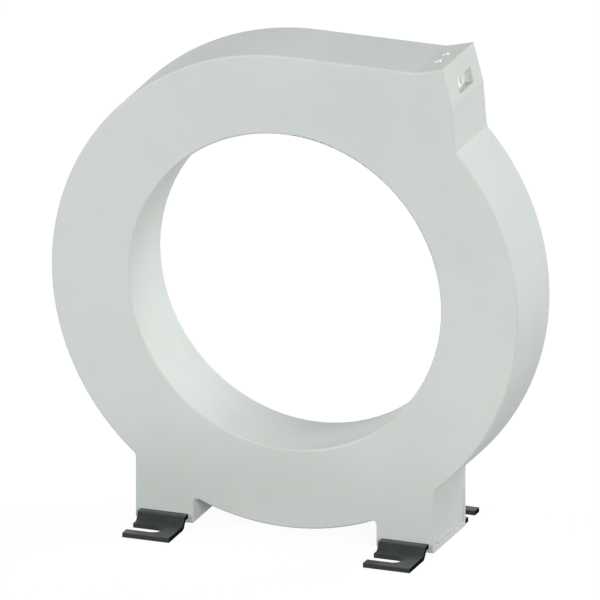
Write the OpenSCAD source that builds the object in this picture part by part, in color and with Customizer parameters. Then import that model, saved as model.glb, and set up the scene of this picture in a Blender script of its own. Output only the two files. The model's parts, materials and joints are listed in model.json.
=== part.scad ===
// Ring-core current transformer in a moulded housing: the conductors pass through the round window,
// a two-pole clamp terminal sits in the raised corner, and four push-in metal feet carry it.
// Frame: +Z up, +Y towards the back, origin under the window at the mounting plane, mid-depth.
// The ring and the corner are drawn about the window's axis and then lifted to axis_height.

/* [Ring] */
// Diameter of the window that the conductors pass through
window_d = 140; // [125:1:160]
// Width of the ring's face, from the window to the outside
ring_width = 35; // [32:0.5:42]
// Depth of the housing, front face to back face
ring_depth = 38; // [34:0.5:60]
// Gap between the ring and the mounting plane
under_ring = 5; // [4:0.5:7]

/* [Housing] */
// Wall round the outside of the housing
wall = 2.5; // [2:0.1:3]
// Thickness of the front face
face_wall = 2.5; // [1.5:0.1:4]
// Wall of the sleeve that lines the window
sleeve_wall = 2.4; // [1.8:0.1:3]
// Radius on the outer edges of both faces
edge_round = 0.9; // [0.3:0.1:1.1]
// Thickness of the back cover
cover_t = 2.2; // [1.5:0.1:3]
// Width of the ledge that the back cover sits on
cover_ledge = 1.2; // [0.8:0.1:1.5]
// Gap round the edge of the back cover
cover_gap = 0.15; // [0.05:0.05:0.3]
// Height of the collar inside the cover, round the window's sleeve
cover_rib_h = 3; // [1:0.5:3]
// Thickness of that collar
cover_rib_t = 1.4; // [1:0.1:2]

/* [Terminal corner] */
// Tilt of the corner's top and of its upper end face, in degrees
corner_tilt = 14.5; // [10:0.5:18]
// Tilt of the lower end face, in degrees
lower_tilt = 4.6; // [3:0.1:8]
// Distance from the window's axis to the start of the sloping top
ramp_start = 58.7; // [55:0.1:62]
// Length of the sloping top
ramp_length = 12.6; // [11:0.1:15]
// Length of the upper end face
upper_face = 17.4; // [17:0.1:20]

/* [Terminal] */
// Distance between the two poles
pole_pitch = 9.5; // [8.5:0.1:11]
// Offset of the terminal behind the middle of the housing
terminal_shift = 0.5; // [-2:0.1:2]
// Length of the terminal body along the wires
terminal_l = 14.8; // [13:0.1:16]
// Height of the terminal body
terminal_h = 13.8; // [13.6:0.1:14.4]
// Wall between a clamp chamber and the outside of the body
terminal_wall = 1.4; // [1:0.1:1.6]
// Depth of the recess in front of the wire entries
recess_depth = 3.6; // [3.2:0.1:4.5]
// Width of that recess
recess_w = 16.4; // [15:0.1:17]
// Height of that recess
recess_h = 6.7; // [5.5:0.1:7]
// Height of the recess's lower edge above the terminal body's underside
recess_up = 1.8; // [1.5:0.05:2.5]
// Diameter of one wire entry
entry_d = 2.6; // [2.2:0.1:3.4]
// Diameter of its funnel at the recess
entry_mouth = 4; // [3.6:0.1:5.4]
// Depth of that funnel
funnel_depth = 0.7; // [0.4:0.1:0.9]
// Distance of the screws from the upper end face
screw_inset = 7.8; // [7.6:0.1:8.4]

/* [Clamps] */
// Diameter of a terminal screw's thread
screw_d = 3; // [2.5:0.1:3]
// Diameter of its head
head_d = 3.8; // [3.5:0.1:4]
// Height of its head
head_h = 2.3; // [1.6:0.1:2.4]
// Length of its shank under the head
shank_l = 6.4; // [6:0.1:6.8]
// Gap between the head and the access hole
head_gap = 0.15; // [0.1:0.05:0.3]
// Gap between the shank and the holes it turns in
shank_gap = 0.08; // [0.02:0.01:0.1]
// Width of a clamp cage
cage_w = 5.6; // [5.4:0.1:6]
// Length of a clamp cage along the wire
cage_l = 4.6; // [4:0.1:5]
// Height of a clamp cage
cage_h = 7.4; // [7:0.1:7.6]
// Sheet thickness of a clamp cage
cage_t = 0.8; // [0.6:0.1:1]
// Turns of a terminal screw from open to closed
screw_turns = 5.5; // [4:0.5:6]
// Thread pitch of the terminal screws
screw_pitch = 0.5; // [0.4:0.05:0.5]
// Gap between moving clamp parts and their chamber
clamp_gap = 0.3; // [0.2:0.05:0.5]
// Thickness of a contact bar
bar_t = 0.8; // [0.6:0.1:1]
// Length of the solder tag behind the terminal body
tag_l = 3; // [2:0.5:5]

/* [Feet] */
// Distance from the middle plane to the inner side of a foot
foot_in = 41; // [39:0.5:43]
// Width of a foot
foot_w = 26.2; // [24:0.1:28]
// Gap between the foot's underside and the mounting plane
foot_lift = 1.5; // [1:0.1:2.5]
// Height of the solid block that holds the brackets
foot_block = 7; // [6:0.5:9]
// Radius on the foot's upright and lower edges
foot_round = 0.9; // [0.5:0.1:1.4]
// Fillet between the foot's inner side and the ring
foot_fillet = 1; // [0.5:0.1:3]
// Depth of the recessed panel in the foot's outer side, at its lower edge
panel_depth = 0.9; // [0.5:0.1:1.2]
// Width of the frame in front of that panel and behind it
panel_frame = 1.8; // [1.4:0.1:4]
// Height of the frame under it
panel_sill = 3.2; // [2:0.1:4]
// Height of that panel
panel_h = 15; // [8:1:18]

/* [Brackets] */
// Width of the bracket strip
strip_w = 21; // [16:0.5:22]
// Thickness of the bracket strip
strip_t = 2; // [1.5:0.1:2.2]
// Distance from the housing's face to the bracket's free end
bracket_reach = 22.5; // [20:0.5:30]
// Distance from the housing's face to the screw slot
slot_reach = 13.5; // [13:0.5:15.5]
// Width of the screw slot
slot_w = 8; // [5:0.5:9]
// Height from the lower leaf to the upper leaf
bracket_step = 3.5; // [3.2:0.1:4.2]
// Slope of the web between the leaves, in degrees
bend_angle = 55; // [45:1:70]
// Inner radius of the two bends
bend_r = 0.5; // [0.3:0.1:0.8]
// Distance from the housing's face to the start of the upper bend
bend_reach = 2.2; // [0.5:0.1:2.5]
// Length of the upper leaf inside its pocket
leaf_hold = 13; // [8:0.5:16]
// Gap round the leaf in its pocket
pocket_gap = 0.1; // [0.05:0.05:0.2]

/* [Core and winding] */
// Space between the window's sleeve and the wrapped ring
sleeve_space = 3.1; // [2:0.1:4]
// Space between the wrapped ring and the outer wall
outer_space = 5; // [4:0.1:6]
// Space between the front face and the wrapped ring
front_space = 3; // [2:0.1:5]
// Space between the wrapped ring and the back cover
back_space = 3.3; // [3:0.1:5]
// Gap round the core in its case
core_gap = 0.3; // [0.2:0.05:0.5]
// Wall of the core case
case_wall = 1.5; // [1:0.1:1.8]
// Number of turn bundles in the secondary winding
bundles = 48; // [24:4:60]
// Width of one bundle
bundle_w = 6; // [4:0.5:7]
// Height of a bundle above the winding's base layer
bundle_h = 1; // [0.6:0.1:1.2]
// Thickness of the winding's base layer
base_layer = 0.9; // [0.6:0.1:1.2]
// Thickness of the tape wrap
wrap_t = 0.5; // [0.4:0.1:0.8]
// Number of ribs that centre the wound ring in the housing
rib_count = 12; // [8:1:16]
// Thickness of those ribs
rib_t = 1.6; // [1.2:0.1:2]
// Diameter of the two winding leads, over their insulation
lead_d = 1.6; // [1.2:0.1:1.8]

/* [Hidden] */
$fn = 96;

over = 1;                 // how far a cutter runs past the surface it opens
seat_gap = 0.1;           // gap between a curved seat and what it carries
edge_stop = 0.4;          // how far from an inner corner a rounded edge stops
solder_gap = 0.05;        // solder between a lead and what it joins
wrap_gap = 0.3;           // gap between the turn bundles and the tape round them
bend_swell = 0.06;        // how much thicker a lead is where it bends
screw_slot = 0.6;         // width and depth of the driver slot in a terminal screw
bend_steps = 8;           // steps along the arc of a bend
window_r = window_d / 2;
ring_r = window_r + ring_width;
half_depth = ring_depth / 2;
sleeve_r = window_r + sleeve_wall;
axis_height = ring_r + under_ring;

// ---- outline of the housing, in the plane of the ring, about the window's axis ----

ramp_dir = [cos(corner_tilt), sin(corner_tilt)];
upper_dir = [sin(corner_tilt), -cos(corner_tilt)];
lower_dir = [sin(lower_tilt), -cos(lower_tilt)];
ramp_foot = [ramp_start, ring_r];
corner = ramp_foot + ramp_length * ramp_dir;
kink = corner + upper_face * upper_dir;

// the inward normal of a line that runs clockwise round the outline
function inward(d) = [d[1], -d[0]];
// where the line through p along d meets the line through q along e
function meet(p, d, q, e) =
    let (cross_de = d[0] * e[1] - d[1] * e[0], pq = q - p)
    p + d * ((pq[0] * e[1] - pq[1] * e[0]) / cross_de);
// where the line through p along d leaves the circle of radius r
function leave(p, d, r) =
    let (b = p * d, c = p * p - r * r)
    p + d * (-b - sqrt(b * b - c));

// the corner's outline, set in from the outer surface by inset
function corner_points(inset) =
    let (flat = [0, ring_r - inset],
         ramp = ramp_foot + inset * inward(ramp_dir),
         upper = corner + inset * inward(upper_dir),
         lower = kink + inset * inward(lower_dir),
         low_corner = meet(upper, upper_dir, lower, lower_dir))
    [flat,
     meet(flat, [1, 0], ramp, ramp_dir),
     meet(ramp, ramp_dir, upper, upper_dir),
     low_corner,
     leave(low_corner, lower_dir, ring_r - inset) + over * lower_dir];

join = leave(kink, lower_dir, ring_r);     // where the lower end face meets the ring
join_angle = atan2(join[1], join[0]);

foot_out = foot_in + foot_w;
bracket_x = foot_in + foot_w / 2;          // the brackets sit in the middle of the feet
foot_bottom = foot_lift - axis_height;

module foot_outline(inset, lift) {
    translate([foot_in + inset, foot_bottom + lift])
        square([foot_w - 2 * inset, -foot_bottom - lift - window_r]);
}

// the fillet between the inner side of a foot and the ring: its centre, then its section
fillet_x = foot_in - foot_fillet;
fillet_z = -sqrt(pow(ring_r + foot_fillet, 2) - fillet_x * fillet_x);
module foot_fillet_outline() {
    on_ring = ring_r / (ring_r + foot_fillet);
    difference() {
        polygon([[fillet_x, fillet_z], [foot_in + over, fillet_z], [foot_in + over, -window_r - over],
                 on_ring * [fillet_x, fillet_z]]);
        translate([fillet_x, fillet_z]) circle(foot_fillet);
    }
}

module both_sides() {
    children();
    mirror([1, 0]) children();
}

// the housing's outline, set in by inset, with the feet's floor raised by lift
module housing_outline(inset, lift) {
    circle(ring_r - inset);
    polygon(concat([[0, 0]], corner_points(inset)));
    both_sides() foot_outline(inset, lift);
}

// stands a flat outline up in the ring's plane, from y = y0 to y = y1
module upright(y0, y1) {
    translate([0, y1, axis_height]) rotate([90, 0, 0]) linear_extrude(y1 - y0) children();
}

// ---- rounded edges ----

// what a round edge takes away from a square one, at the corner [0, 0]
module edge_profile(r) {
    difference() {
        translate([-r, -r]) square(r + over);
        translate([-r, -r]) circle(r, $fn = 32);
    }
}

// a cutter along the straight edge from p to q of the front face, with the solid on its right
module edge_line(p, q, r) {
    d = q - p;
    length = norm(d);
    translate([p[0], -half_depth, axis_height + p[1]]) rotate([0, -atan2(d[1], d[0]), 0])
        rotate([90, 0, 90]) linear_extrude(length) mirror([1, 0]) edge_profile(r);
}

// a cutter along the arc of radius r_edge of the front face, from angle a0 to angle a1
module edge_arc(r_edge, a0, a1, r) {
    translate([0, -half_depth, axis_height]) rotate([90, 0, 0]) rotate([0, 0, a0])
        rotate_extrude(angle = a1 - a0, $fn = 192) translate([r_edge, 0]) edge_profile(r);
}

// rounded edges stop just short of the inner corners of the outline
stop_angle = edge_stop / ring_r * 180 / PI;
foot_out_angle = acos(foot_out / ring_r) - stop_angle;
foot_in_angle = atan2(-fillet_z, fillet_x) + stop_angle;

module front_edges() {
    r = edge_round;
    outline = corner_points(0);
    edge_arc(ring_r, 90, 180 + foot_out_angle, r);
    edge_arc(ring_r, 180 + foot_in_angle, 360 - foot_in_angle, r);
    edge_arc(ring_r, 360 - foot_out_angle, 360 + join_angle - stop_angle, r);
    for (i = [0 : 2]) edge_line(outline[i], outline[i + 1], r);
    edge_line(kink, join - edge_stop * lower_dir, r);
    window_edge(r);
}

module window_edge(r) {
    translate([0, -half_depth, axis_height]) rotate([90, 0, 0])
        rotate_extrude($fn = 192) translate([window_r, 0]) mirror([1, 0]) edge_profile(r);
}

module front_and_back() {
    children();
    mirror([0, 1, 0]) children();
}

// where the rounded edges of a foot's sides end, above the mounting plane
foot_in_top = axis_height + fillet_z - edge_stop;
foot_out_top = axis_height - sqrt(ring_r * ring_r - foot_out * foot_out) - edge_stop;

// puts a cutter made for the side that faces +X on the side at x; the outer side faces +X
module on_side(x) {
    translate([x, 0, 0]) mirror([x == foot_in ? 1 : 0, 0, 0]) children();
}

// rounds the upright edges and the underside of one foot, on the right
module foot_edges() {
    for (side = [[foot_in, foot_in_top], [foot_out, foot_out_top]]) on_side(side[0]) {
        front_and_back() translate([0, -half_depth, 0]) mirror([0, 1, 0])
            linear_extrude(side[1]) edge_profile(foot_round);
        translate([0, half_depth + over, foot_lift]) rotate([90, 0, 0]) mirror([0, 1, 0])
            linear_extrude(ring_depth + 2 * over) edge_profile(foot_round);
    }
    front_and_back() translate([foot_in - over, -half_depth, foot_lift]) rotate([90, 0, 90])
        mirror([1, 0, 0]) mirror([0, 1, 0]) linear_extrude(foot_w + 2 * over)
        edge_profile(foot_round);
}

// the shallow panel in a foot's outer side: deepest at its lower edge and running out at its top
module foot_panel() {
    translate([foot_out, half_depth - panel_frame, foot_lift + panel_sill])
        rotate([90, 0, 0]) linear_extrude(ring_depth - 2 * panel_frame)
        polygon([[over, 0], [-panel_depth, 0], [0, panel_h], [over, panel_h]]);
}

// ---- terminal corner: its own frame lies in the corner, tilted with it ----

terminal_y = terminal_shift;
body_w = 2 * pole_pitch + 2 * clamp_gap;
body_top = -wall;
body_low = body_top - terminal_h;
body_front = -recess_depth;
body_back = body_front - terminal_l;
recess_low = body_low + recess_up;

// x points out through the end face, z out through the sloping top
module in_corner() {
    translate([corner[0], terminal_y, axis_height + corner[1]]) rotate([0, -corner_tilt, 0])
        children();
}

module pole(side) {
    in_corner() translate([0, side * pole_pitch / 2, 0]) children();
}

module box_at(x0, x1, y0, y1, z0, z1) {
    translate([x0, y0, z0]) cube([x1 - x0, y1 - y0, z1 - z0]);
}

// a box from x0 to x1 and z0 to z1, centred on y = 0
module slab(x0, x1, width, z0, z1) {
    box_at(x0, x1, -width / 2, width / 2, z0, z1);
}

hole_r = head_d / 2 + head_gap;
shank_hole_r = screw_d / 2 + shank_gap;
cage_travel = screw_turns * screw_pitch;    // how far a cage rises when its screw is tightened
chamber_top = body_top - terminal_wall;
cage_top = chamber_top - clamp_gap - cage_travel;
cage_low = cage_top - cage_h;
chamber_low = cage_low - clamp_gap;
chamber_front = -screw_inset + cage_l / 2 + clamp_gap;
chamber_back = -screw_inset - cage_l / 2 - clamp_gap;
chamber_w = cage_w + 2 * clamp_gap;
bar_w = cage_w - 2 * cage_t - 2 * clamp_gap;
bar_top = body_top - shank_l - clamp_gap;
bar_low = bar_top - bar_t;

// ---- housing ----

module housing_shell() color("#cdd2ce") difference() {
    housing_body();
    front_and_back() front_edges();
    both_feet() {
        foot_edges();
        foot_panel();
    }
    bracket_pockets();
    corner_openings();
}

// the tub: outer wall, front face, window sleeve, feet, and the ribs and boss inside
module housing_body() {
    difference() {
        upright(-half_depth, half_depth) {
            housing_outline(0, 0);
            both_sides() foot_fillet_outline();
        }
        upright(-half_depth + face_wall, half_depth + over) difference() {
            housing_outline(wall, foot_block);
            circle(sleeve_r);
        }
        upright(half_depth - cover_t, half_depth + over) difference() {
            housing_outline(wall - cover_ledge, foot_block - cover_ledge);
            circle(sleeve_r - cover_ledge);
        }
        upright(-half_depth - over, half_depth + over) circle(window_r);
    }
    core_ribs();
    terminal_cradle();
}

module both_feet() {
    children();
    mirror([1, 0, 0]) children();
}

// L-shaped ribs that centre the wound ring on the sleeve and hold it off the front face
module core_ribs() {
    root_r = window_r + sleeve_wall / 2;
    root_y = -half_depth + face_wall / 2;
    around_axis(rib_count) {
        box_at(root_r, wrap_out_r, root_y, wrap_front, -rib_t / 2, rib_t / 2);
        box_at(root_r, wrap_in_r - seat_gap, root_y, wrap_back, -rib_t / 2, rib_t / 2);
    }
}

// a point of its own frame lies at radius x and depth y from the window's axis
module rotate_about_axis(angle) {
    translate([0, 0, axis_height]) rotate([0, -angle, 0]) children();
}

module around_axis(count) {
    for (i = [0 : count - 1]) rotate_about_axis((i + 0.5) * 360 / count) children();
}

// the open-backed cradle that seats the terminal body, with the block that carries the recess
module terminal_cradle() in_corner() difference() {
    slab(body_back, -wall / 2, body_w + 2 * terminal_wall, body_low - terminal_wall, -wall / 2);
    slab(body_back - over, body_front, body_w, body_low, body_top);
}

module corner_openings() {
    in_corner() slab(body_front - over, over, recess_w, recess_low, recess_low + recess_h);
    for (side = [-1, 1]) pole(side) translate([-screw_inset, 0, body_top - over])
        cylinder(r = hole_r, h = wall + 2 * over);
}

// the back plate, with a collar round the sleeve and ribs that press on the wound ring
module rear_cover() color("#cacfcb") {
    collar_r = sleeve_r + cover_gap;
    upright(half_depth - cover_t, half_depth) cover_outline();
    around_axis(rib_count) box_at(collar_r + cover_rib_t / 2, wrap_out_r, wrap_back,
                                  half_depth - cover_t / 2, -rib_t / 2, rib_t / 2);
    ring(collar_r, collar_r + cover_rib_t, half_depth - cover_t - cover_rib_h,
         half_depth - cover_t / 2);
}

module cover_outline() {
    difference() {
        housing_outline(wall - cover_ledge + cover_gap, foot_block - cover_ledge + cover_gap);
        circle(sleeve_r - cover_ledge + cover_gap);
    }
}

// ---- core, case, winding and wrap ----

wrap_in_r = sleeve_r + sleeve_space;
wrap_out_r = ring_r - wall - outer_space;
wrap_front = -half_depth + face_wall + front_space;
wrap_back = half_depth - cover_t - back_space;
wrap_mid = (wrap_front + wrap_back) / 2;
winding_t = base_layer + bundle_h;
case_inset = wrap_t + wrap_gap + winding_t; // from the outside of the tape to the core case
lead_bundle = round(52 * bundles / 360);    // the bundle that both leads leave from
lead_angle = lead_bundle * 360 / bundles;
lead_gap = lead_d * 1.2;                    // distance between the leads where they leave it
lead_hole_d = 2 * lead_d + 2;

// the wrapped ring's square section, set in by inset, at radius x and depth y
module wrap_section(inset) {
    translate([wrap_in_r + inset, wrap_front + inset])
        square([wrap_out_r - wrap_in_r - 2 * inset, wrap_back - wrap_front - 2 * inset]);
}

// the ring with that section
module wrap_inset(inset) {
    ring(wrap_in_r + inset, wrap_out_r - inset, wrap_front + inset, wrap_back - inset);
}

// a square-sectioned ring about the window's axis
module ring(r0, r1, y0, y1) {
    upright(y0, y1) difference() {
        circle(r1, $fn = 192);
        circle(r0, $fn = 192);
    }
}

module magnetic_core() color("#5b5f63") wrap_inset(case_inset + case_wall + core_gap);

module core_case_tray() color("#2f3133") difference() {
    wrap_inset(case_inset);
    wrap_inset(case_inset + case_wall);
    lid_space(over);
}

module core_case_lid() color("#3a3c3e") intersection() {
    wrap_inset(case_inset);
    lid_space(0);
}

// the slice at the back of the core case that its lid takes up
module lid_space(past) {
    lid_front = wrap_back - case_inset - case_wall;
    ring(wrap_in_r, wrap_out_r, lid_front, lid_front + case_wall + past);
}

// the base layer of turns with the raised bundles over it
module secondary_winding() color("#b5652b") {
    difference() {
        wrap_inset(case_inset - base_layer);
        wrap_inset(case_inset);
    }
    for (i = [0 : bundles - 1]) rotate_about_axis(i * 360 / bundles) turn_bundle();
}

// one bundle of turns: a frame round the case's section, rooted in the base layer
module turn_bundle() {
    translate([0, 0, -bundle_w / 2]) linear_extrude(bundle_w) difference() {
        wrap_section(case_inset - winding_t);
        wrap_section(case_inset - base_layer / 2);
    }
}

module winding_wrap() color("#c9b458") difference() {
    wrap_inset(0);
    wrap_inset(wrap_t);
    rotate_about_axis(lead_angle) translate([wrap_out_r - case_inset, wrap_mid, 0])
        rotate([0, 90, 0]) cylinder(d = lead_hole_d, h = wrap_out_r);
}

// ---- leads ----

// a round lead through the given points
module lead(points) {
    for (i = [0 : len(points) - 2]) lead_run(points[i], points[i + 1]);
    for (i = [1 : len(points) - 2]) translate(points[i]) sphere(d = lead_d + bend_swell, $fn = 32);
}

module lead_run(p, q) {
    d = q - p;
    translate(p) rotate([0, acos(d[2] / norm(d)), atan2(d[1], d[0])])
        cylinder(d = lead_d, h = norm(d), $fn = 32);
}

// a point of the corner's frame, in the part's frame
function corner_point(x, y, z) =
    [corner[0] + x * cos(corner_tilt) - z * sin(corner_tilt), terminal_y + y,
     axis_height + corner[1] + x * sin(corner_tilt) + z * cos(corner_tilt)];
// a point at radius r and angle a about the window's axis
function ring_point(r, a, y) = [r * cos(a), y, axis_height + r * sin(a)];

lead_start_r = wrap_out_r - case_inset + winding_t + solder_gap;
tag_end = body_back - tag_l;
lead_z = bar_low - lead_d / 2 - solder_gap;

// from the winding out through the wrap, up to the terminal and under its solder tag
function lead_points(side) =
    [ring_point(lead_start_r, lead_angle, wrap_mid + side * lead_gap / 2),
     ring_point(wrap_out_r + outer_space / 2, lead_angle, wrap_mid + side * lead_gap / 2),
     corner_point(tag_end - 2 * lead_d, side * pole_pitch / 2, lead_z),
     corner_point(tag_end + tag_l / 2, side * pole_pitch / 2, lead_z)];

module lead_start() color("#c0392b") lead(lead_points(-1));
module lead_finish() color("#2c5aa0") lead(lead_points(1));

// ---- terminal ----

module terminal_body() color("#d4d8d5") in_corner() difference() {
    slab(body_back, body_front, body_w, body_low, body_top);
    for (side = [-1, 1]) translate([0, side * pole_pitch / 2, 0]) {
        slab(chamber_back, chamber_front, chamber_w, chamber_low, chamber_top);
        wire_entry();
        slab(body_back - over, chamber_back + over, bar_w + 2 * pocket_gap,
             bar_low - pocket_gap, bar_top + pocket_gap);
        translate([-screw_inset, 0, chamber_top - over])
            cylinder(r = shank_hole_r, h = terminal_wall + 2 * over);
    }
}

// the round hole a wire goes in by, level with the open cage's floor, with its funnel at the recess
module wire_entry() {
    translate([chamber_front - over, 0, cage_low + cage_t + entry_d / 2]) rotate([0, 90, 0]) {
        cylinder(d = entry_d, h = body_front - chamber_front + 2 * over);
        translate([0, 0, body_front - chamber_front + over - funnel_depth])
            cylinder(d1 = entry_d, d2 = entry_mouth, h = funnel_depth);
    }
}

module contact_bar(side) color("#c9a24a") pole(side) {
    slab(tag_end, chamber_front, bar_w, bar_low, bar_top);
}

// the cage hangs on the screw by its top plate and lifts the wire against the contact bar
module clamp_cage(side) color("#c7cacc") pole(side) translate([-screw_inset, 0, 0]) difference() {
    slab(-cage_l / 2, cage_l / 2, cage_w, cage_low, cage_top);
    slab(-cage_l, cage_l, cage_w - 2 * cage_t, cage_low + cage_t, cage_top - cage_t);
    translate([0, 0, cage_top - cage_t - over])
        cylinder(r = shank_hole_r, h = cage_t + 2 * over);
}

// the head turns in the housing's access hole and rests on the terminal body
module terminal_screw(side) color("#e4e6e8") pole(side) translate([-screw_inset, 0, body_top])
    difference() {
        union() {
            cylinder(d = head_d, h = head_h);
            translate([0, 0, -shank_l]) cylinder(d = screw_d, h = shank_l + head_h / 2);
        }
        slab(-head_d, head_d, screw_slot, head_h - screw_slot, head_h + over);
    }

module contact_bar_front() contact_bar(-1);
module contact_bar_rear() contact_bar(1);
module clamp_cage_front() clamp_cage(-1);
module clamp_cage_rear() clamp_cage(1);
module terminal_screw_front() terminal_screw(-1);
module terminal_screw_rear() terminal_screw(1);

// ---- brackets ----

bend_mid_r = bend_r + strip_t / 2;
web_l = (bracket_step - 2 * bend_mid_r * (1 - cos(bend_angle))) / sin(bend_angle);
flat_start = bend_reach + 2 * bend_mid_r * sin(bend_angle) + web_l * cos(bend_angle);

// points along an arc about the point c
function arc(c, r, a0, a1) =
    [for (i = [0 : bend_steps]) let (a = a0 + (a1 - a0) * i / bend_steps) c + r * [cos(a), sin(a)]];

// the strip's section, from its held end to its free end, with y measured from the housing's face:
// along the top and back along the underside
module strip_section() {
    upper = [bend_reach, bracket_step - bend_r];
    lower = [flat_start, strip_t + bend_r];
    polygon(concat([[-leaf_hold, bracket_step + strip_t]],
                   arc(upper, bend_r + strip_t, 90, 90 - bend_angle),
                   arc(lower, bend_r, 270 - bend_angle, 270),
                   [[bracket_reach, strip_t], [bracket_reach, 0]],
                   arc(lower, bend_r + strip_t, 270, 270 - bend_angle),
                   arc(upper, bend_r, 90 - bend_angle, 90),
                   [[-leaf_hold, bracket_step]]));
}

// a front bracket, with its slot open towards -X
module bracket() color("#3a3f3c") difference() {
    translate([-strip_w / 2, -half_depth, 0]) rotate([90, 0, 90]) linear_extrude(strip_w)
        mirror([1, 0]) strip_section();
    translate([0, -half_depth - slot_reach, -over]) {
        cylinder(d = slot_w, h = strip_t + 2 * over);
        translate([-strip_w, -slot_w / 2, 0]) cube([strip_w, slot_w, strip_t + 2 * over]);
    }
}

module bracket_front_left() translate([-bracket_x, 0, 0]) bracket();
module bracket_front_right() translate([bracket_x, 0, 0]) bracket();
module bracket_rear_left() rotate([0, 0, 180]) translate([bracket_x, 0, 0]) bracket();
module bracket_rear_right() rotate([0, 0, 180]) translate([-bracket_x, 0, 0]) bracket();

module bracket_pockets() {
    for (x = [-bracket_x, bracket_x]) front_and_back() translate([x, -half_depth, 0])
        box_at(-strip_w / 2 - pocket_gap, strip_w / 2 + pocket_gap, -over, leaf_hold + pocket_gap,
               bracket_step - pocket_gap, bracket_step + strip_t + pocket_gap);
}

housing_shell();
rear_cover();
core_case_tray();
core_case_lid();
magnetic_core();
secondary_winding();
winding_wrap();
lead_start();
lead_finish();
terminal_body();
contact_bar_front();
contact_bar_rear();
clamp_cage_front();
clamp_cage_rear();
terminal_screw_front();
terminal_screw_rear();
bracket_front_left();
bracket_front_right();
bracket_rear_left();
bracket_rear_right();
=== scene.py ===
"""Looks of a ring-core current transformer.

A light moulded housing with a raised terminal corner stands on four black coated strip feet. Inside it
are the wound core in its case, the copper winding under its tape, and a two-pole clamp terminal.
All sizes are in metres in the construction's own frame: +Z up, +Y towards the back cover.
"""

import json
import logging
import math
from collections.abc import Callable
from dataclasses import dataclass, field
from enum import Enum
from typing import Any

import bpy
from mathutils import Matrix, Vector

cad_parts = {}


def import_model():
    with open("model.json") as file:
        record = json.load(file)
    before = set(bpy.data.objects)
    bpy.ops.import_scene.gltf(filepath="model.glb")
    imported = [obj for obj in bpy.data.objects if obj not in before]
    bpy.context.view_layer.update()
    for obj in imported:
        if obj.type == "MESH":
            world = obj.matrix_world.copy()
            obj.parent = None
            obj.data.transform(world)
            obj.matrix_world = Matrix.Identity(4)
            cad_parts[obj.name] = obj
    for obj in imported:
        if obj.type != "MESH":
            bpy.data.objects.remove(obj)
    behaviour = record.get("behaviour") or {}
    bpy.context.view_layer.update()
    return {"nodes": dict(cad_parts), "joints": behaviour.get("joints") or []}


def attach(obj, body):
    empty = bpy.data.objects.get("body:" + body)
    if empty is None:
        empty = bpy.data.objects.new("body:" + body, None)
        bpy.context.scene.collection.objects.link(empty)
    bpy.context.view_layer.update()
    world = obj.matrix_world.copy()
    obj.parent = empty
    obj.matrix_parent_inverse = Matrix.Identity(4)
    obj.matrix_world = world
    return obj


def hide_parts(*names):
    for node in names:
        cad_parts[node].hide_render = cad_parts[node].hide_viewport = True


LOG = logging.getLogger("current_transformer")

MM = 0.001
AXIS_HEIGHT = 110 * MM            # of the window's axis above the mounting plane
MIX_FACTOR, MIX_A, MIX_B, MIX_RESULT = 0, 6, 7, 2    # the colour sockets of a Mix node
Link = tuple[bpy.types.Node, str | int]


# ---------------------------------------------------------------- small helpers


def linear(hex_colour: str) -> tuple[float, float, float, float]:
    """Turns an sRGB hex colour into linear light.

    Args:
        hex_colour: six hex digits, such as "cdd2ce".

    Returns:
        The linear red, green, blue and an alpha of 1.
    """
    channels = [int(hex_colour[i:i + 2], 16) / 255 for i in (0, 2, 4)]
    light = [c / 12.92 if c <= 0.04045 else ((c + 0.055) / 1.055) ** 2.4 for c in channels]
    return (*light, 1.0)


def pattern_scale(size_mm: float) -> float:
    """Gives the texture scale whose features are about this size.

    Args:
        size_mm: real size of one feature, in millimetres.

    Returns:
        The scale for a texture that reads Object coordinates in metres.
    """
    return 1.0 / (size_mm * MM)


def add_node(tree: bpy.types.NodeTree, kind: str, settings: dict[str, Any] | None = None,
             inputs: dict[Any, Any] | None = None,
             stops: tuple[tuple[float, str], ...] = ()) -> bpy.types.Node:
    """Adds one node with its settings, values and links.

    Args:
        tree: the node tree to add to.
        kind: the node's type name.
        settings: properties of the node, by name.
        inputs: for each input socket, by name or index, a value or a (node, output) link.
        stops: for a colour ramp, the position and sRGB hex colour of its two stops.

    Returns:
        The new node.
    """
    node = tree.nodes.new(kind)
    for name, value in (settings or {}).items():
        setattr(node, name, value)
    for socket, value in (inputs or {}).items():
        if isinstance(value, tuple) and len(value) == 2 and isinstance(value[0], bpy.types.Node):
            tree.links.new(value[0].outputs[value[1]], node.inputs[socket])
        else:
            node.inputs[socket].default_value = value
    for index, (position, tone) in enumerate(stops):
        element = node.color_ramp.elements[index]
        element.position, element.color = position, linear(tone)
    return node


def new_material(name: str) -> tuple[bpy.types.Material, bpy.types.NodeTree, bpy.types.Node]:
    """Makes an empty node material with Object coordinates.

    Args:
        name: the material's name.

    Returns:
        The material, its node tree and the Texture Coordinate node.
    """
    material = bpy.data.materials.new(name)
    material.use_nodes = True
    tree = material.node_tree
    tree.nodes.clear()
    return material, tree, add_node(tree, "ShaderNodeTexCoord")


def finish_surface(tree: bpy.types.NodeTree, colour: Link, roughness: Link | float,
                   height: Link, bump_mm: float, sockets: dict[str, float]) -> None:
    """Ends a material in a Principled surface with a bump.

    Args:
        tree: the node tree.
        colour: the (node, output) that gives the base colour.
        roughness: a constant, or the (node, output) that gives it.
        height: the (node, output) that gives the bump's height, 0 to 1.
        bump_mm: real height of the bump, in millimetres.
        sockets: constant values for other sockets of the surface.
    """
    bump = add_node(tree, "ShaderNodeBump",
                    inputs={"Height": height, "Distance": bump_mm * MM, "Strength": 1.0})
    surface = add_node(tree, "ShaderNodeBsdfPrincipled",
                       inputs={"Base Color": colour, "Roughness": roughness,
                               "Normal": (bump, "Normal"), **sockets})
    add_node(tree, "ShaderNodeOutputMaterial", inputs={"Surface": (surface, "BSDF")})


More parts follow.
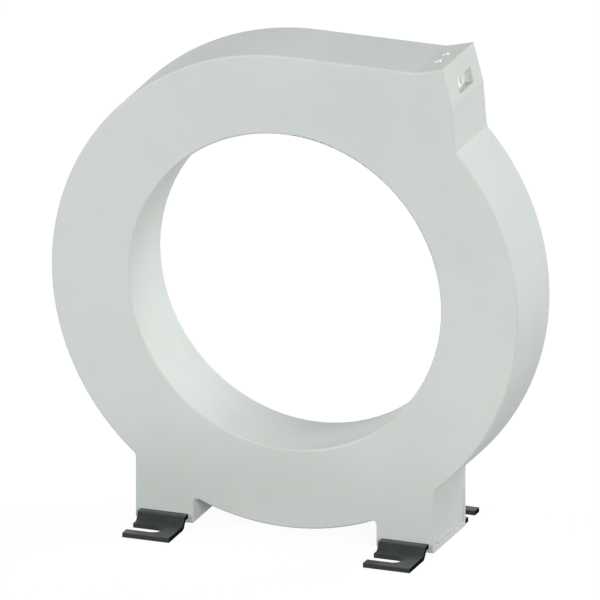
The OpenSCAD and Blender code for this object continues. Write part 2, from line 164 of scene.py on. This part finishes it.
# ---------------------------------------------------------------- finishes


@dataclass(frozen=True)
class MouldedPlastic:
    """Injection-moulded flame-retardant plastic: an even satin skin with a fine spark-eroded grain.

    The grain spreads highlights softly, and the tone drifts a little where the melt flowed and cooled.
    """

    name: str
    tone: str = "d0d5d1"
    drift_tone: str = "cbd1cc"
    drift_mm: float = 45.0
    grain_mm: float = 0.9         # real grain is 0.1 mm; drawn coarser so that it shows
    grain_height_mm: float = 0.012
    roughness: float = 0.55
    roughness_spread: float = 0.05
    ior: float = 1.45
    # painted shade: a colour that darkens the tone towards the floor, by the feet
    painted_foot_shade: str | None = None         # what dims the tone by the floor, if anything does
    shade_from_mm: float = 60.0
    shade_to_mm: float = 15.0

    def build(self) -> bpy.types.Material:
        """Builds the material."""
        material, tree, coords = new_material(self.name)
        place = (coords, "Object")
        drift = add_node(tree, "ShaderNodeTexNoise",
                         inputs={"Vector": place, "Scale": pattern_scale(self.drift_mm), "Detail": 3.0})
        colour = add_node(tree, "ShaderNodeValToRGB", inputs={"Fac": (drift, "Fac")},
                          stops=((0.38, self.drift_tone), (0.62, self.tone)))
        grain = add_node(tree, "ShaderNodeTexNoise",
                         inputs={"Vector": place, "Scale": pattern_scale(self.grain_mm), "Detail": 2.0})
        sheen = add_node(tree, "ShaderNodeMapRange",
                         inputs={"Value": (grain, "Fac"),
                                 "To Min": self.roughness - self.roughness_spread,
                                 "To Max": self.roughness + self.roughness_spread})
        tone = (colour, "Color") if self.painted_foot_shade is None else self.shaded(tree, coords, colour)
        finish_surface(tree, tone, (sheen, "Result"), (grain, "Fac"), self.grain_height_mm,
                       {"IOR": self.ior})
        return material

    def shaded(self, tree: bpy.types.NodeTree, coords: bpy.types.Node,
               colour: bpy.types.Node) -> Link:
        """Dims the tone towards the floor, in place of the shade that the lamps don't give the feet.

        Args:
            tree: the node tree.
            coords: the Texture Coordinate node.
            colour: the node that gives the plain tone.

        Returns:
            The (node, output) of the dimmed tone.
        """
        split = add_node(tree, "ShaderNodeSeparateXYZ", inputs={0: (coords, "Object")})
        near_floor = add_node(tree, "ShaderNodeMapRange", {"interpolation_type": "SMOOTHSTEP"},
                              {"Value": (split, "Z"), "From Min": self.shade_from_mm * MM,
                               "From Max": self.shade_to_mm * MM})
        dimmed = add_node(tree, "ShaderNodeMix", {"data_type": "RGBA", "blend_type": "MULTIPLY"},
                          {MIX_FACTOR: (near_floor, "Result"), MIX_A: (colour, "Color"),
                           MIX_B: linear(self.painted_foot_shade)})
        return dimmed, MIX_RESULT


@dataclass(frozen=True)
class CoatedSteel:
    """Black coated steel strip: a thin, even coat over rolled steel.

    The rolled faces have a soft sheen with a slight orange peel. Those that look up have a lighter tone, in
    place of the light that the lamps don't give them. The sheared sides are rough, so the coat lies thin
    and dull there and they look almost black.
    """

    name: str
    tone: str = "191d1b"
    light_tone: str = "232825"
    sheared_tone: str = "070807"
    # painted light: the lighter tone of faces that look up
    painted_light_tone: str = "424845"
    sheared_facing: tuple[float, float] = (0.6, 0.8)    # how far a sheared side looks along X
    upper_facing: tuple[float, float] = (0.75, 0.95)    # how far an upper face looks up
    cloud_mm: float = 6.0
    peel_mm: float = 0.8
    peel_height_mm: float = 0.006
    roughness: float = 0.36
    roughness_spread: float = 0.06
    ior: float = 1.42

    def build(self) -> bpy.types.Material:
        """Builds the material."""
        material, tree, coords = new_material(self.name)
        place = (coords, "Object")
        cloud = add_node(tree, "ShaderNodeTexNoise",
                         inputs={"Vector": place, "Scale": pattern_scale(self.cloud_mm), "Detail": 4.0})
        coat = add_node(tree, "ShaderNodeValToRGB", inputs={"Fac": (cloud, "Fac")},
                        stops=((0.35, self.tone), (0.75, self.light_tone)))
        facing = add_node(tree, "ShaderNodeSeparateXYZ", inputs={0: (coords, "Normal")})
        across = add_node(tree, "ShaderNodeMath", {"operation": "ABSOLUTE"}, {0: (facing, "X")})
        sheared = add_node(tree, "ShaderNodeMapRange",
                           inputs={"Value": (across, "Value"), "From Min": self.sheared_facing[0],
                                   "From Max": self.sheared_facing[1]})
        upward = add_node(tree, "ShaderNodeMapRange",
                          inputs={"Value": (facing, "Z"), "From Min": self.upper_facing[0],
                                  "From Max": self.upper_facing[1]})
        # painted light on the faces that look up
        painted_light_mix = add_node(tree, "ShaderNodeMix", {"data_type": "RGBA"},
                         {MIX_FACTOR: (upward, "Result"), MIX_A: (coat, "Color"),
                          MIX_B: linear(self.painted_light_tone)})
        colour = add_node(tree, "ShaderNodeMix", {"data_type": "RGBA"},
                          {MIX_FACTOR: (sheared, "Result"), MIX_A: (painted_light_mix, MIX_RESULT),
                           MIX_B: linear(self.sheared_tone)})
        peel = add_node(tree, "ShaderNodeTexNoise",
                        inputs={"Vector": place, "Scale": pattern_scale(self.peel_mm), "Detail": 1.0})
        sheen = add_node(tree, "ShaderNodeMapRange",
                         inputs={"Value": (cloud, "Fac"),
                                 "To Min": self.roughness - self.roughness_spread,
                                 "To Max": self.roughness + self.roughness_spread})
        dull = add_node(tree, "ShaderNodeMath", {"operation": "MAXIMUM"},
                        {0: (sheen, "Result"), 1: (sheared, "Result")})
        # as a very dark metal the sheared sides keep no skin that would shine at a flat angle
        finish_surface(tree, (colour, MIX_RESULT), (dull, "Value"), (peel, "Fac"),
                       self.peel_height_mm, {"IOR": self.ior, "Metallic": (sheared, "Result")})
        return material


class Lay(Enum):
    """How the marks of a metal finish run."""

    EVEN = "even"
    ROUND = "round"


@dataclass(frozen=True)
class PlatedMetal:
    """Plated or tinned metal: a bright coat with fine streaks from drawing or turning."""

    name: str
    tone: str
    dull_tone: str
    roughness: float
    streak_mm: float = 0.25
    streak_height_mm: float = 0.004
    lay: Lay = Lay.EVEN
    drawn_out: float = 0.12       # how much of its scale an even lay keeps along Y
    roughness_drop: float = 0.05  # where the streaks are bright
    roughness_rise: float = 0.08  # where they are dull

    def build(self) -> bpy.types.Material:
        """Builds the material."""
        material, tree, coords = new_material(self.name)
        squeeze = (1.0, self.drawn_out if self.lay is Lay.EVEN else 1.0, 1.0)
        place = add_node(tree, "ShaderNodeMapping",
                         inputs={"Vector": (coords, "Object"), "Scale": squeeze})
        streak = add_node(tree, "ShaderNodeTexNoise",
                          inputs={"Vector": (place, "Vector"), "Scale": pattern_scale(self.streak_mm),
                                  "Detail": 3.0})
        colour = add_node(tree, "ShaderNodeValToRGB", inputs={"Fac": (streak, "Fac")},
                          stops=((0.3, self.dull_tone), (0.6, self.tone)))
        sheen = add_node(tree, "ShaderNodeMapRange",
                         inputs={"Value": (streak, "Fac"),
                                 "To Min": self.roughness + self.roughness_rise,
                                 "To Max": self.roughness - self.roughness_drop})
        finish_surface(tree, (colour, "Color"), (sheen, "Result"), (streak, "Fac"),
                       self.streak_height_mm, {"Metallic": 1.0})
        return material


@dataclass(frozen=True)
class Wound:
    """A wound surface: wire, tape or strip whose turns run round the ring or round its section."""

    name: str
    tone: str
    painted_shade_tone: str
    turn_mm: float
    roughness: float
    metallic: float
    radius_mm: float              # where the turns are counted
    height_mm: float
    across: bool                  # True for turns that cross the ring's section

    def build(self) -> bpy.types.Material:
        """Builds the material from the angle round the window's axis, or the distance from it."""
        material, tree, coords = new_material(self.name)
        split = add_node(tree, "ShaderNodeSeparateXYZ", inputs={0: (coords, "Object")})
        height = add_node(tree, "ShaderNodeMath", {"operation": "SUBTRACT"},
                          {0: (split, "Z"), 1: AXIS_HEIGHT})
        if self.across:
            angle = add_node(tree, "ShaderNodeMath", {"operation": "ARCTAN2"},
                             {0: (height, "Value"), 1: (split, "X")})
            count = round(2 * math.pi * self.radius_mm / self.turn_mm)
            phase = add_node(tree, "ShaderNodeMath", {"operation": "MULTIPLY"},
                             {0: (angle, "Value"), 1: float(count)})
        else:
            plane = add_node(tree, "ShaderNodeCombineXYZ",
                             inputs={"X": (split, "X"), "Y": (height, "Value")})
            distance = add_node(tree, "ShaderNodeVectorMath", {"operation": "LENGTH"},
                                {0: (plane, "Vector")})
            phase = add_node(tree, "ShaderNodeMath", {"operation": "MULTIPLY"},
                             {0: (distance, "Value"), 1: 2 * math.pi * pattern_scale(self.turn_mm)})
        wave = add_node(tree, "ShaderNodeMath", {"operation": "SINE"}, {0: (phase, "Value")})
        turns = add_node(tree, "ShaderNodeMapRange",
                         inputs={"Value": (wave, "Value"), "From Min": -1.0, "From Max": 1.0})
        # painted shade: the hollows between the turns take the darker tone
        colour = add_node(tree, "ShaderNodeValToRGB", inputs={"Fac": (turns, "Result")},
                          stops=((0.0, self.painted_shade_tone), (0.7, self.tone)))
        finish_surface(tree, (colour, "Color"), self.roughness, (turns, "Result"), self.height_mm,
                       {"Metallic": self.metallic})
        return material


Finish = MouldedPlastic | CoatedSteel | PlatedMetal | Wound

# the housing and the cover carry painted shade towards the floor
HOUSING_PLASTIC = MouldedPlastic("housing_moulded_plastic", painted_foot_shade="f0f0f0")
COVER_PLASTIC = MouldedPlastic("cover_moulded_plastic", tone="ced3cf", drift_tone="c9cfca",
                               drift_mm=60.0, painted_foot_shade="f0f0f0")
# painted light: the terminal body is drawn lighter than the housing's plastic, against the shade in its
# recess
TERMINAL_PLASTIC = MouldedPlastic("terminal_plastic_painted_light", tone="e4e8e5", drift_tone="dee2df",
                                  drift_mm=12.0, roughness=0.42)
CASE_PLASTIC = MouldedPlastic("core_case_filled_plastic", tone="2b2d2f", drift_tone="242628",
                              drift_mm=20.0, roughness=0.52)
FOOT_STEEL = CoatedSteel("foot_black_coated_steel")
SCREW_STEEL = PlatedMetal("screw_zinc_plated_steel", tone="fefefd", dull_tone="f8f8f8",
                          roughness=0.12, streak_height_mm=0.0004, lay=Lay.ROUND)
CAGE_STEEL = PlatedMetal("cage_zinc_plated_steel", tone="e6e8ea", dull_tone="cdd0d3", roughness=0.3)
CONTACT_BRASS = PlatedMetal("contact_tinned_brass", tone="dccb94", dull_tone="c4b078", roughness=0.3)
WINDING_COPPER = Wound("winding_enamelled_copper", tone="b8672c", painted_shade_tone="6d3413", turn_mm=0.8,
                       roughness=0.3, metallic=0.9, radius_mm=86.5, height_mm=0.15, across=True)
CORE_STRIP = Wound("core_wound_magnetic_strip", tone="7a7f84", painted_shade_tone="55595d", turn_mm=0.5,
                   roughness=0.35, metallic=1.0, radius_mm=86.5, height_mm=0.05, across=False)
WRAP_FILM = Wound("wrap_polyester_film", tone="d8c56a", painted_shade_tone="c3ae50", turn_mm=9.0,
                  roughness=0.35, metallic=0.0, radius_mm=86.5, height_mm=0.1, across=True)
LEAD_RED = MouldedPlastic("lead_red_insulation", tone="b5261c", drift_tone="9e1e16", drift_mm=8.0,
                          roughness=0.4)
LEAD_BLUE = MouldedPlastic("lead_blue_insulation", tone="23509a", drift_tone="1c4384", drift_mm=8.0,
                           roughness=0.4)

NODE_FINISH = {
    "housing_shell": HOUSING_PLASTIC,
    "rear_cover": COVER_PLASTIC,
    "terminal_body": TERMINAL_PLASTIC,
    "core_case_tray": CASE_PLASTIC,
    "core_case_lid": CASE_PLASTIC,
    "magnetic_core": CORE_STRIP,
    "secondary_winding": WINDING_COPPER,
    "winding_wrap": WRAP_FILM,
    "lead_start": LEAD_RED,
    "lead_finish": LEAD_BLUE,
    "contact_bar_front": CONTACT_BRASS,
    "contact_bar_rear": CONTACT_BRASS,
    "clamp_cage_front": CAGE_STEEL,
    "clamp_cage_rear": CAGE_STEEL,
    "terminal_screw_front": SCREW_STEEL,
    "terminal_screw_rear": SCREW_STEEL,
    "bracket_front_left": FOOT_STEEL,
    "bracket_front_right": FOOT_STEEL,
    "bracket_rear_left": FOOT_STEEL,
    "bracket_rear_right": FOOT_STEEL,
}


@dataclass
class Dressing:
    """Gives every construction node its finish."""

    nodes: dict[str, bpy.types.Object]
    built: dict[str, bpy.types.Material] = field(default_factory=dict)

    def material(self, finish: Finish) -> bpy.types.Material:
        """Gives a finish's material, built once."""
        if finish.name not in self.built:
            self.built[finish.name] = finish.build()
        return self.built[finish.name]

    def dress(self) -> list[str]:
        """Puts each node's material in its slots.

        Returns:
            The names of the nodes that were dressed.
        """
        for name, finish in NODE_FINISH.items():
            mesh = self.nodes[name].data
            mesh.materials.clear()
            mesh.materials.append(self.material(finish))
        return list(NODE_FINISH)


# ---------------------------------------------------------------- terminal screws


def select_faces(mesh_object: bpy.types.Object,
                 wanted: Callable[[bpy.types.MeshPolygon], bool]) -> None:
    """Enters edit mode with only the wanted faces selected.

    Args:
        mesh_object: the active object.
        wanted: tells whether a face is to be selected.
    """
    bpy.ops.object.mode_set(mode="OBJECT")
    mesh = mesh_object.data
    picked = [wanted(face) for face in mesh.polygons]
    for part in (mesh.vertices, mesh.edges, mesh.polygons):
        part.foreach_set("select", [False] * len(part))
    mesh.polygons.foreach_set("select", picked)
    bpy.ops.object.mode_set(mode="EDIT")
    bpy.ops.mesh.select_mode(type="FACE")


@dataclass
class TerminalScrew:
    """A slotted terminal screw with a crowned head and a rolled thread, made upright, then set in place.

    It stands for a construction screw whose shank is plain. Its seat, the underside of its head, is
    where the construction's turning joint is, and its axis is the joint's axis.
    """

    pole: str
    head_d: float = 3.8 * MM
    head_h: float = 2.3 * MM
    head_edge: float = 0.1 * MM
    crown_steps: tuple[tuple[float, float], ...] = (
        (0.3 * MM, 0.26 * MM), (0.5 * MM, 0.22 * MM), (0.5 * MM, 0.12 * MM))    # inwards, upwards
    slot_w: float = 0.35 * MM
    slot_depth: float = 0.75 * MM     # from the top of the crown
    slot_turn_deg: float = 111.0      # from the run of the terminal corner's top
    shank_l: float = 6.4 * MM
    thread_d: float = 3.0 * MM
    thread_pitch: float = 0.5 * MM
    thread_depth: float = 0.3 * MM
    thread_fill: float = 0.9          # how much of the pitch the foot of the ridge takes up
    thread_overlap: float = 0.02 * MM     # how far the ridge is sunk in the core
    neck: float = 0.5 * MM            # plain length under the head
    round_steps: int = 48

    @property
    def node(self) -> str:
        """The construction node that this screw stands for."""
        return f"terminal_screw_{self.pole}"

    @property
    def body(self) -> str:
        """The body that this screw moves with."""
        return f"screw_{self.pole}"

    def build(self, joints: list[dict[str, Any]], steel: bpy.types.Material) -> bpy.types.Object:
        """Builds the screw in its place.

        Args:
            joints: the frame's joints, among them this screw's turning joint.
            steel: the material of the screw.

        Returns:
            The finished screw.
        """
        screw = self.build_head_and_core()
        thread = self.build_thread()
        bpy.ops.object.select_all(action="DESELECT")
        for piece in (thread, screw):
            piece.select_set(True)
        bpy.context.view_layer.objects.active = screw
        bpy.ops.object.join()
        screw.name = f"slotted_screw_{self.pole}"
        screw.data.materials.clear()
        screw.data.materials.append(steel)
        self.seat(screw, next(joint for joint in joints if joint["child"] == self.body))
        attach(screw, self.body)
        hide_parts(self.node)
        return screw

    def build_head_and_core(self) -> bpy.types.Object:
        """Models the crowned head with its slot, and the core of the shank under it."""
        bpy.ops.object.select_all(action="DESELECT")
        bpy.ops.mesh.primitive_cylinder_add(vertices=self.round_steps, radius=self.head_d / 2,
                                            depth=self.head_h, location=(0, 0, self.head_h / 2))
        screw = bpy.context.object
        bpy.ops.object.transform_apply(location=True, rotation=False, scale=False)
        core_r = self.thread_d / 2 - self.thread_depth
        select_faces(screw, lambda face: face.normal.z < -0.5)
        bpy.ops.mesh.inset(thickness=self.head_d / 2 - core_r)
        bpy.ops.mesh.extrude_region_move(TRANSFORM_OT_translate={"value": (0, 0, -self.shank_l)})
        bpy.ops.mesh.bevel(offset=self.thread_depth, segments=1, affect="EDGES")
        select_faces(screw, lambda face: face.normal.z > 0.5)
        bpy.ops.mesh.bevel(offset=self.head_edge, segments=2, affect="EDGES")
        select_faces(screw, lambda face: face.normal.z > 0.99)
        for inwards, upwards in self.crown_steps:
            bpy.ops.mesh.inset(thickness=inwards)
            bpy.ops.transform.translate(value=(0, 0, upwards))
        self.cut_slot(screw)
        return screw

    def cut_slot(self, screw: bpy.types.Object) -> None:
        """Cuts the driver's slot across the head, with a block whose middle is at the crown's top."""
        bpy.ops.object.mode_set(mode="OBJECT")
        bpy.ops.object.select_all(action="DESELECT")
        top = self.head_h + sum(upwards for _, upwards in self.crown_steps)
        bpy.ops.mesh.primitive_cube_add(size=1, location=(0, 0, top),
                                        rotation=(0, 0, math.radians(self.slot_turn_deg)),
                                        scale=(2 * self.head_d, self.slot_w, 2 * self.slot_depth))
        cutter = bpy.context.object
        slot = screw.modifiers.new("slot", "BOOLEAN")
        slot.operation = "DIFFERENCE"
        slot.object = cutter
        bpy.context.view_layer.objects.active = screw
        bpy.ops.object.modifier_apply(modifier=slot.name)
        bpy.data.objects.remove(cutter)

    def build_thread(self) -> bpy.types.Object:
        """Winds the thread's three-cornered ridge round the core, from the tip up to the neck."""
        root_r = self.thread_d / 2 - self.thread_depth - self.thread_overlap
        crest_height = self.thread_d / 2 - root_r
        turns = int((self.shank_l - self.neck) / self.thread_pitch) - 1
        bpy.ops.object.select_all(action="DESELECT")
        bpy.ops.mesh.primitive_circle_add(vertices=3, radius=1)
        thread = bpy.context.object
        bpy.ops.object.mode_set(mode="EDIT")
        bpy.ops.mesh.select_all(action="SELECT")
        # the triangle's corner that becomes the crest is turned from +Y to +X and the triangle is stood
        # up; then its height of 1.5 and its width of sqrt(3) are brought to those of the ridge
        bpy.ops.transform.rotate(value=math.pi / 2, orient_axis="Z", center_override=(0, 0, 0))
        bpy.ops.transform.rotate(value=math.pi / 2, orient_axis="X", center_override=(0, 0, 0))
        ridge_w = self.thread_fill * self.thread_pitch
        bpy.ops.transform.resize(value=(crest_height / 1.5, 1, ridge_w / math.sqrt(3)),
                                 center_override=(0, 0, 0))
        bpy.ops.transform.translate(value=(root_r + crest_height / 3, 0,
                                           self.thread_pitch - self.shank_l))
        bpy.ops.object.mode_set(mode="OBJECT")
        winding = thread.modifiers.new("winding", "SCREW")
        winding.screw_offset = self.thread_pitch
        winding.iterations = turns
        winding.steps = winding.render_steps = self.round_steps // 2
        bpy.ops.object.modifier_apply(modifier=winding.name)
        bpy.ops.object.mode_set(mode="EDIT")
        bpy.ops.mesh.select_all(action="SELECT")
        bpy.ops.mesh.remove_doubles(threshold=1e-7)
        bpy.ops.mesh.fill_holes(sides=3)
        bpy.ops.mesh.normals_make_consistent(inside=False)
        bpy.ops.object.mode_set(mode="OBJECT")
        return thread

    def seat(self, screw: bpy.types.Object, joint: dict[str, Any]) -> None:
        """Sets the upright screw at its joint, along its axis, and applies its place."""
        axis = Vector(joint["axis"])
        back = Vector((0.0, 1.0, 0.0))
        turn = Matrix((back.cross(axis), back, axis)).transposed()
        screw.matrix_world = Matrix.Translation(joint["pos_m"]) @ turn.to_4x4()
        bpy.ops.object.select_all(action="DESELECT")
        screw.select_set(True)
        bpy.context.view_layer.objects.active = screw
        bpy.ops.object.transform_apply(location=True, rotation=True, scale=True)


# ---------------------------------------------------------------- camera, floor and light


@dataclass
class Camera:
    """A parallel-view camera, turned to the right of the front and looking down a little."""

    azimuth_deg: float = 20.69
    elevation_deg: float = 19.50
    width: float = 0.2524         # what the view is wide, in metres
    aim_right: float = 6.42 * MM  # from the front of the window's axis, across the view
    aim_down: float = 3.32 * MM
    front: float = -19.0 * MM     # of the housing
    stand_off: float = 1.2        # clear of the part
    see_to: float = 10.0

    def build(self) -> bpy.types.Object:
        """Adds the camera and makes it the scene's."""
        azimuth = math.radians(self.azimuth_deg)
        elevation = math.radians(self.elevation_deg)
        forward = Vector((-math.sin(azimuth) * math.cos(elevation),
                          math.cos(azimuth) * math.cos(elevation), -math.sin(elevation)))
        right = Vector((math.cos(azimuth), math.sin(azimuth), 0.0))
        up = right.cross(forward)
        axis_front = Vector((0.0, self.front, AXIS_HEIGHT))
        aim = axis_front + right * self.aim_right - up * self.aim_down
        data = bpy.data.cameras.new("camera")
        data.type = "ORTHO"
        data.ortho_scale = self.width
        data.clip_end = self.see_to
        camera = bpy.data.objects.new("camera", data)
        camera.location = aim - forward * self.stand_off
        camera.rotation_euler = forward.to_track_quat("-Z", "Y").to_euler()
        bpy.context.scene.collection.objects.link(camera)
        bpy.context.scene.camera = camera
        return camera


@dataclass(frozen=True)
class Lamp:
    """One broad lamp, far away."""

    name: str
    azimuth_deg: float            # from straight in front towards the terminal corner's side
    elevation_deg: float
    strength: float
    spread_deg: float = 30.0

    def build(self) -> bpy.types.Object:
        """Adds the lamp, aimed at the part."""
        azimuth, elevation = math.radians(self.azimuth_deg), math.radians(self.elevation_deg)
        towards = Vector((math.sin(azimuth) * math.cos(elevation),
                          -math.cos(azimuth) * math.cos(elevation), math.sin(elevation)))
        data = bpy.data.lights.new(self.name, "SUN")
        data.energy = self.strength
        data.angle = math.radians(self.spread_deg)
        lamp = bpy.data.objects.new(self.name, data)
        lamp.rotation_euler = towards.to_track_quat("Z", "Y").to_euler()
        bpy.context.scene.collection.objects.link(lamp)
        return lamp


LAMPS = (
    Lamp("side_lamp_left", -60.0, 20.0, 2.11),
    Lamp("key_lamp_right", 45.0, 15.0, 2.24),
    Lamp("back_lamp_low", 135.0, 15.0, 0.48),
    Lamp("back_lamp_high", 140.0, 50.0, 1.41),
)


@dataclass
class Studio:
    """A floor and surround that look white, four broad lamps, and a little even light all round."""

    around: float = 0.04          # strength of the light from all round
    mirrored: float = 0.8         # how bright shiny and clear surfaces show the surround
    floor_size: float = 8.0
    floor_tone: str = "a4a4a4"    # what the floor throws back on to the part
    shade: float = 0.2            # how much of the floor's own light and shadow the camera sees
    white: float = 1.19           # what the camera sees for the rest, so that both come to white

    def build(self) -> None:
        """Adds the floor, the lamps and the surrounding light."""
        self.build_floor()
        for lamp in LAMPS:
            lamp.build()
        self.build_surround()
        bpy.context.scene.view_settings.view_transform = "Standard"

    def seen_directly(self, tree: bpy.types.NodeTree) -> Link:
        """Adds nodes that tell what the camera sees, straight or in a shiny or clear surface.

        Args:
            tree: the node tree.

        Returns:
            The (node, output) that is 1 for such rays and 0 for the light that falls on the part.
        """
        path = add_node(tree, "ShaderNodeLightPath")
        shiny = add_node(tree, "ShaderNodeMath", {"operation": "MAXIMUM"},
                         {0: (path, "Is Glossy Ray"), 1: (path, "Is Transmission Ray")})
        seen = add_node(tree, "ShaderNodeMath", {"operation": "MAXIMUM"},
                        {0: (shiny, "Value"), 1: (path, "Is Camera Ray")})
        return seen, "Value"

    def build_floor(self) -> None:
        """Adds the floor, which the camera sees as white with the part's soft shadow faintly on it."""
        bpy.ops.object.select_all(action="DESELECT")
        bpy.ops.mesh.primitive_plane_add(size=self.floor_size)
        floor = bpy.context.object
        floor.name = "studio_floor"
        material, tree, _ = new_material("studio_floor_white")
        glowing = add_node(tree, "ShaderNodeMath", {"operation": "MULTIPLY"},
                           {0: self.seen_directly(tree), 1: 1.0 - self.shade})
        matt = add_node(tree, "ShaderNodeBsdfDiffuse", inputs={"Color": linear(self.floor_tone)})
        glow = add_node(tree, "ShaderNodeEmission", inputs={"Strength": self.white})
        both = add_node(tree, "ShaderNodeMixShader",
                        inputs={0: (glowing, "Value"), 1: (matt, "BSDF"), 2: (glow, "Emission")})
        add_node(tree, "ShaderNodeOutputMaterial", inputs={"Surface": (both, "Shader")})
        floor.data.materials.append(material)

    def build_surround(self) -> None:
        """Adds even light from all round, which looks white in the view and pale in reflections."""
        world = bpy.data.worlds.new("surround")
        bpy.context.scene.world = world
        world.use_nodes = True
        tree = world.node_tree
        tree.nodes.clear()
        level = add_node(tree, "ShaderNodeMapRange",
                         inputs={"Value": self.seen_directly(tree), "To Min": self.around,
                                 "To Max": self.mirrored})
        path = add_node(tree, "ShaderNodeLightPath")
        strength = add_node(tree, "ShaderNodeMath", {"operation": "MAXIMUM"},
                            {0: (level, "Result"), 1: (path, "Is Camera Ray")})
        light = add_node(tree, "ShaderNodeBackground",
                         inputs={"Color": linear("ffffff"), "Strength": (strength, "Value")})
        add_node(tree, "ShaderNodeOutputWorld", inputs={"Surface": (light, "Background")})


# ---------------------------------------------------------------- the whole


def main() -> None:
    """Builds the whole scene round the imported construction."""
    logging.basicConfig(level=logging.INFO, format="%(message)s")
    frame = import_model()
    Camera().build()
    Studio().build()
    dressing = Dressing(frame["nodes"])
    for name in dressing.dress():
        LOG.info("dressed %s", name)
    for pole in ("front", "rear"):
        screw = TerminalScrew(pole).build(frame["joints"], dressing.material(SCREW_STEEL))
        LOG.info("built %s, %d faces", screw.name, len(screw.data.polygons))


if __name__ == "__main__":
    main()
